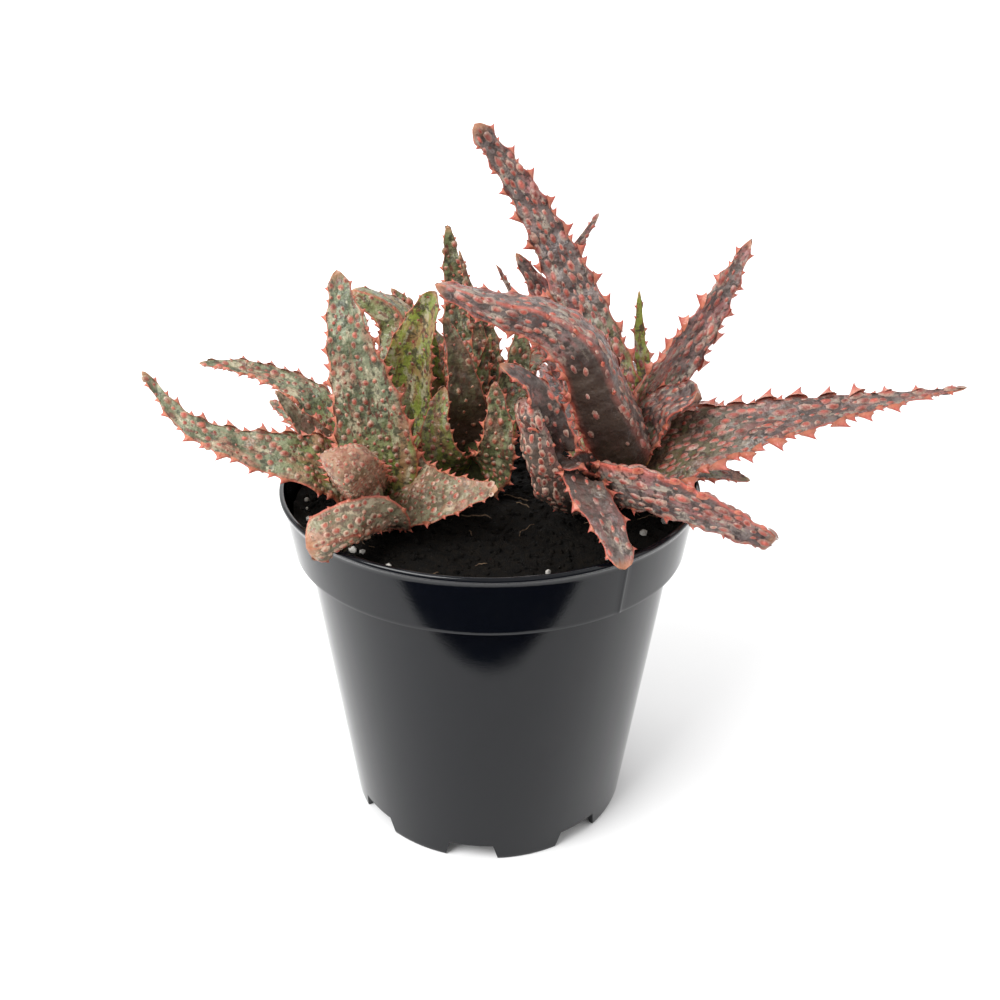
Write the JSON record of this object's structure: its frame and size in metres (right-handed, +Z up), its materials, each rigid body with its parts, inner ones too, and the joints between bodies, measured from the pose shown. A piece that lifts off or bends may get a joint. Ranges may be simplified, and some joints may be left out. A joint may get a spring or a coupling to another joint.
{
  "type": "potted oik aloe",
  "caption": "Clump of warty, toothed aloe rosettes with thick tapering leaves, in peat soil in a round tapered nursery pot with a stepped rim.",
  "frame": {"origin": "middle of the pot's underside, on the surface it stands on", "axes": "+Z up along the pot's axis, -Y towards the front of the clump, +X towards the long leaf at the front view's right"},
  "size_m": [0.192, 0.105, 0.175],
  "materials": {
    "pot": "gloss",
    "soil": "matte",
    "stem": "satin",
    "leaf_left": "satin",
    "leaf_middle": "satin",
    "leaf_right": "satin"
  },
  "bodies": {
    "root": {"leaf_left_back": "leaf_left", "leaf_left_back_high": "leaf_left", "leaf_left_back_left": "leaf_left", "leaf_left_back_right": "leaf_left", "leaf_left_channelled": "leaf_left", "leaf_left_drooping": "leaf_left", "leaf_left_hooked": "leaf_left", "leaf_left_incurved": "leaf_left", "leaf_left_inner": "leaf_left", "leaf_left_long": "leaf_left", "leaf_left_purple": "leaf_left", "leaf_left_rear_long": "leaf_left", "leaf_left_short": "leaf_left", "leaf_left_upright": "leaf_left", "leaf_middle_back": "leaf_middle", "leaf_middle_back_left": "leaf_middle", "leaf_middle_back_right": "leaf_middle", "leaf_middle_dark": "leaf_middle", "leaf_middle_green": "leaf_middle", "leaf_middle_inner": "leaf_middle", "leaf_middle_low": "leaf_middle", "leaf_middle_rear": "leaf_middle", "leaf_middle_rear_right": "leaf_middle", "leaf_middle_slender": "leaf_middle", "leaf_middle_tall": "leaf_middle", "leaf_middle_warty": "leaf_middle", "leaf_right_arched": "leaf_right", "leaf_right_back": "leaf_right", "leaf_right_back_high": "leaf_right", "leaf_right_back_left": "leaf_right", "leaf_right_back_right": "leaf_right", "leaf_right_behind": "leaf_right", "leaf_right_front_left": "leaf_right", "leaf_right_front_low": "leaf_right", "leaf_right_green": "leaf_right", "leaf_right_grey": "leaf_right", "leaf_right_hanging": "leaf_right", "leaf_right_inner": "leaf_right", "leaf_right_knobbly": "leaf_right", "leaf_right_long": "leaf_right", "leaf_right_ridged": "leaf_right", "leaf_right_tall": "leaf_right", "leaf_right_thin": "leaf_right", "leaf_right_under": "leaf_right", "leaf_right_upright": "leaf_right", "pot": "pot", "soil": "soil", "stem_left": "stem", "stem_middle": "stem", "stem_right": "stem"}
  },
  "joints": []
}
